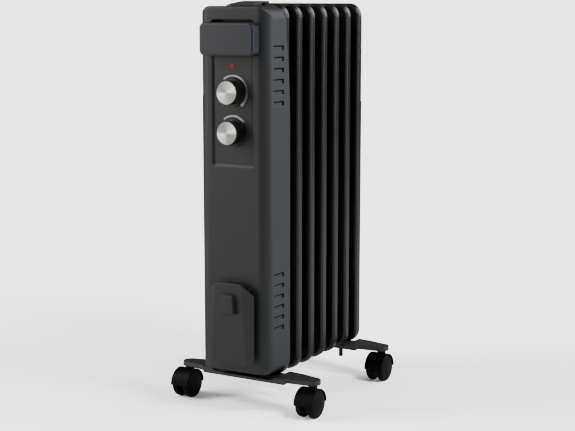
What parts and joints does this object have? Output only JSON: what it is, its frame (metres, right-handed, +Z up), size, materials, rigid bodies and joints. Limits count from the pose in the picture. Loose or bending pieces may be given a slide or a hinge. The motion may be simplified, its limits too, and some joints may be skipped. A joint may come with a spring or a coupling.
{
  "type": "oil filled radiator heater",
  "caption": "Upright oil filled radiator heater: finned steel body, moulded front housing with dials, grab handle, cord winder and feet on twin-wheel swivel casters.",
  "frame": {"origin": "on the floor, under the middle of the heater's bounding box", "axes": "+Z up and the tallest extent; -Y is the front with the dials, +Y the back; +X is the heater's right as seen from the front, and the shortest extent"},
  "size_m": [0.259, 0.334, 0.6282],
  "materials": {
    "fin_enamel": "black baked enamel, semi-matt",
    "foot_enamel": "dark grey baked enamel",
    "zinc_steel": "zinc plated steel",
    "fibre_seal": "pressed fibre washer",
    "brass": "turned",
    "element_sheath": "drawn tube",
    "cover_plastic": "fine spark texture, dark grey",
    "panel_plastic": "fine matt, near black",
    "silver_print": "hot-foil print",
    "lamp_red": "tinted clear lens",
    "inner_plastic": "moulded phenolic",
    "black_rubber": "moulded",
    "handle_plastic": "fine spark texture, blue grey",
    "winder_plastic": "fine spark texture, dark grey",
    "knob_plastic": "satin black",
    "spun_aluminium": "spun face",
    "caster_nylon": "black nylon",
    "wheel_nylon": "black nylon"
  },
  "bodies": {
    "body": {"fin_1": "fin_enamel", "fin_2": "fin_enamel", "fin_3": "fin_enamel", "fin_4": "fin_enamel", "fin_5": "fin_enamel", "fin_6": "fin_enamel", "fin_7": "fin_enamel", "header_collars": "fin_enamel", "element_boss": "fin_enamel", "oil_fill_plug": "zinc_steel", "element_gasket": "fibre_seal", "element_plug": "brass", "heating_element": "element_sheath", "front_cover": "cover_plastic", "pan_head_screws": "zinc_steel", "cord_gland": "black_rubber", "control_panel": "panel_plastic", "dial_scales": "silver_print", "lamp_lens": "lamp_red", "lamp_holder": "inner_plastic", "thermostat_body": "inner_plastic", "selector_switch": "inner_plastic", "front_bracket": "zinc_steel", "thermal_cutout": "inner_plastic", "terminal_block": "inner_plastic", "handle": "handle_plastic", "top_cap": "cover_plastic", "cord_winder": "winder_plastic", "cord_clip": "winder_plastic", "front_foot": "foot_enamel", "rear_foot": "foot_enamel", "u_bolts": "zinc_steel", "foot_nuts": "zinc_steel"},
    "thermostat_dial": {"thermostat_knob": "knob_plastic", "thermostat_knob_disc": "spun_aluminium", "thermostat_spindle": "zinc_steel"},
    "selector_dial": {"selector_knob": "knob_plastic", "selector_knob_disc": "spun_aluminium", "selector_spindle": "zinc_steel"},
    "front_left_caster": {"front_left_caster_housing": "caster_nylon", "front_left_caster_stem": "zinc_steel", "front_left_caster_axle": "zinc_steel"},
    "front_left_outer_wheel": {"front_left_caster_outer_wheel": "wheel_nylon"},
    "front_left_inner_wheel": {"front_left_caster_inner_wheel": "wheel_nylon"},
    "front_right_caster": {"front_right_caster_housing": "caster_nylon", "front_right_caster_stem": "zinc_steel", "front_right_caster_axle": "zinc_steel"},
    "front_right_outer_wheel": {"front_right_caster_outer_wheel": "wheel_nylon"},
    "front_right_inner_wheel": {"front_right_caster_inner_wheel": "wheel_nylon"},
    "rear_left_caster": {"rear_left_caster_housing": "caster_nylon", "rear_left_caster_stem": "zinc_steel", "rear_left_caster_axle": "zinc_steel"},
    "rear_left_outer_wheel": {"rear_left_caster_outer_wheel": "wheel_nylon"},
    "rear_left_inner_wheel": {"rear_left_caster_inner_wheel": "wheel_nylon"},
    "rear_right_caster": {"rear_right_caster_housing": "caster_nylon", "rear_right_caster_stem": "zinc_steel", "rear_right_caster_axle": "zinc_steel"},
    "rear_right_outer_wheel": {"rear_right_caster_outer_wheel": "wheel_nylon"},
    "rear_right_inner_wheel": {"rear_right_caster_inner_wheel": "wheel_nylon"}
  },
  "joints": [
    {"name": "thermostat_turn", "type": "hinge", "parent": "body", "child": "thermostat_dial", "pos_m": [0, -0.145, 0.4934], "axis": [0, 1, 0], "range_deg": [0, 185]},
    {"name": "selector_turn", "type": "hinge", "parent": "body", "child": "selector_dial", "pos_m": [0, -0.145, 0.4334], "axis": [0, 1, 0], "range_deg": [0, 90]},
    {"name": "front_left_swivel", "type": "hinge", "parent": "body", "child": "front_left_caster", "pos_m": [-0.113, -0.099, 0.05], "axis": [0, 0, 1], "continuous": true},
    {"name": "front_left_outer_wheel_spin", "type": "hinge", "parent": "front_left_caster", "child": "front_left_outer_wheel", "pos_m": [-0.113, -0.1075, 0.022], "axis": [1, 0, 0], "continuous": true},
    {"name": "front_left_inner_wheel_spin", "type": "hinge", "parent": "front_left_caster", "child": "front_left_inner_wheel", "pos_m": [-0.113, -0.1075, 0.022], "axis": [1, 0, 0], "continuous": true},
    {"name": "front_right_swivel", "type": "hinge", "parent": "body", "child": "front_right_caster", "pos_m": [0.113, -0.099, 0.05], "axis": [0, 0, 1], "continuous": true},
    {"name": "front_right_outer_wheel_spin", "type": "hinge", "parent": "front_right_caster", "child": "front_right_outer_wheel", "pos_m": [0.113, -0.1075, 0.022], "axis": [1, 0, 0], "continuous": true},
    {"name": "front_right_inner_wheel_spin", "type": "hinge", "parent": "front_right_caster", "child": "front_right_inner_wheel", "pos_m": [0.113, -0.1075, 0.022], "axis": [1, 0, 0], "continuous": true},
    {"name": "rear_left_swivel", "type": "hinge", "parent": "body", "child": "rear_left_caster", "pos_m": [-0.113, 0.139, 0.05], "axis": [0, 0, 1], "continuous": true},
    {"name": "rear_left_outer_wheel_spin", "type": "hinge", "parent": "rear_left_caster", "child": "rear_left_outer_wheel", "pos_m": [-0.113, 0.1305, 0.022], "axis": [1, 0, 0], "continuous": true},
    {"name": "rear_left_inner_wheel_spin", "type": "hinge", "parent": "rear_left_caster", "child": "rear_left_inner_wheel", "pos_m": [-0.113, 0.1305, 0.022], "axis": [1, 0, 0], "continuous": true},
    {"name": "rear_right_swivel", "type": "hinge", "parent": "body", "child": "rear_right_caster", "pos_m": [0.113, 0.139, 0.05], "axis": [0, 0, 1], "continuous": true},
    {"name": "rear_right_outer_wheel_spin", "type": "hinge", "parent": "rear_right_caster", "child": "rear_right_outer_wheel", "pos_m": [0.113, 0.1305, 0.022], "axis": [1, 0, 0], "continuous": true},
    {"name": "rear_right_inner_wheel_spin", "type": "hinge", "parent": "rear_right_caster", "child": "rear_right_inner_wheel", "pos_m": [0.113, 0.1305, 0.022], "axis": [1, 0, 0], "continuous": true}
  ]
}
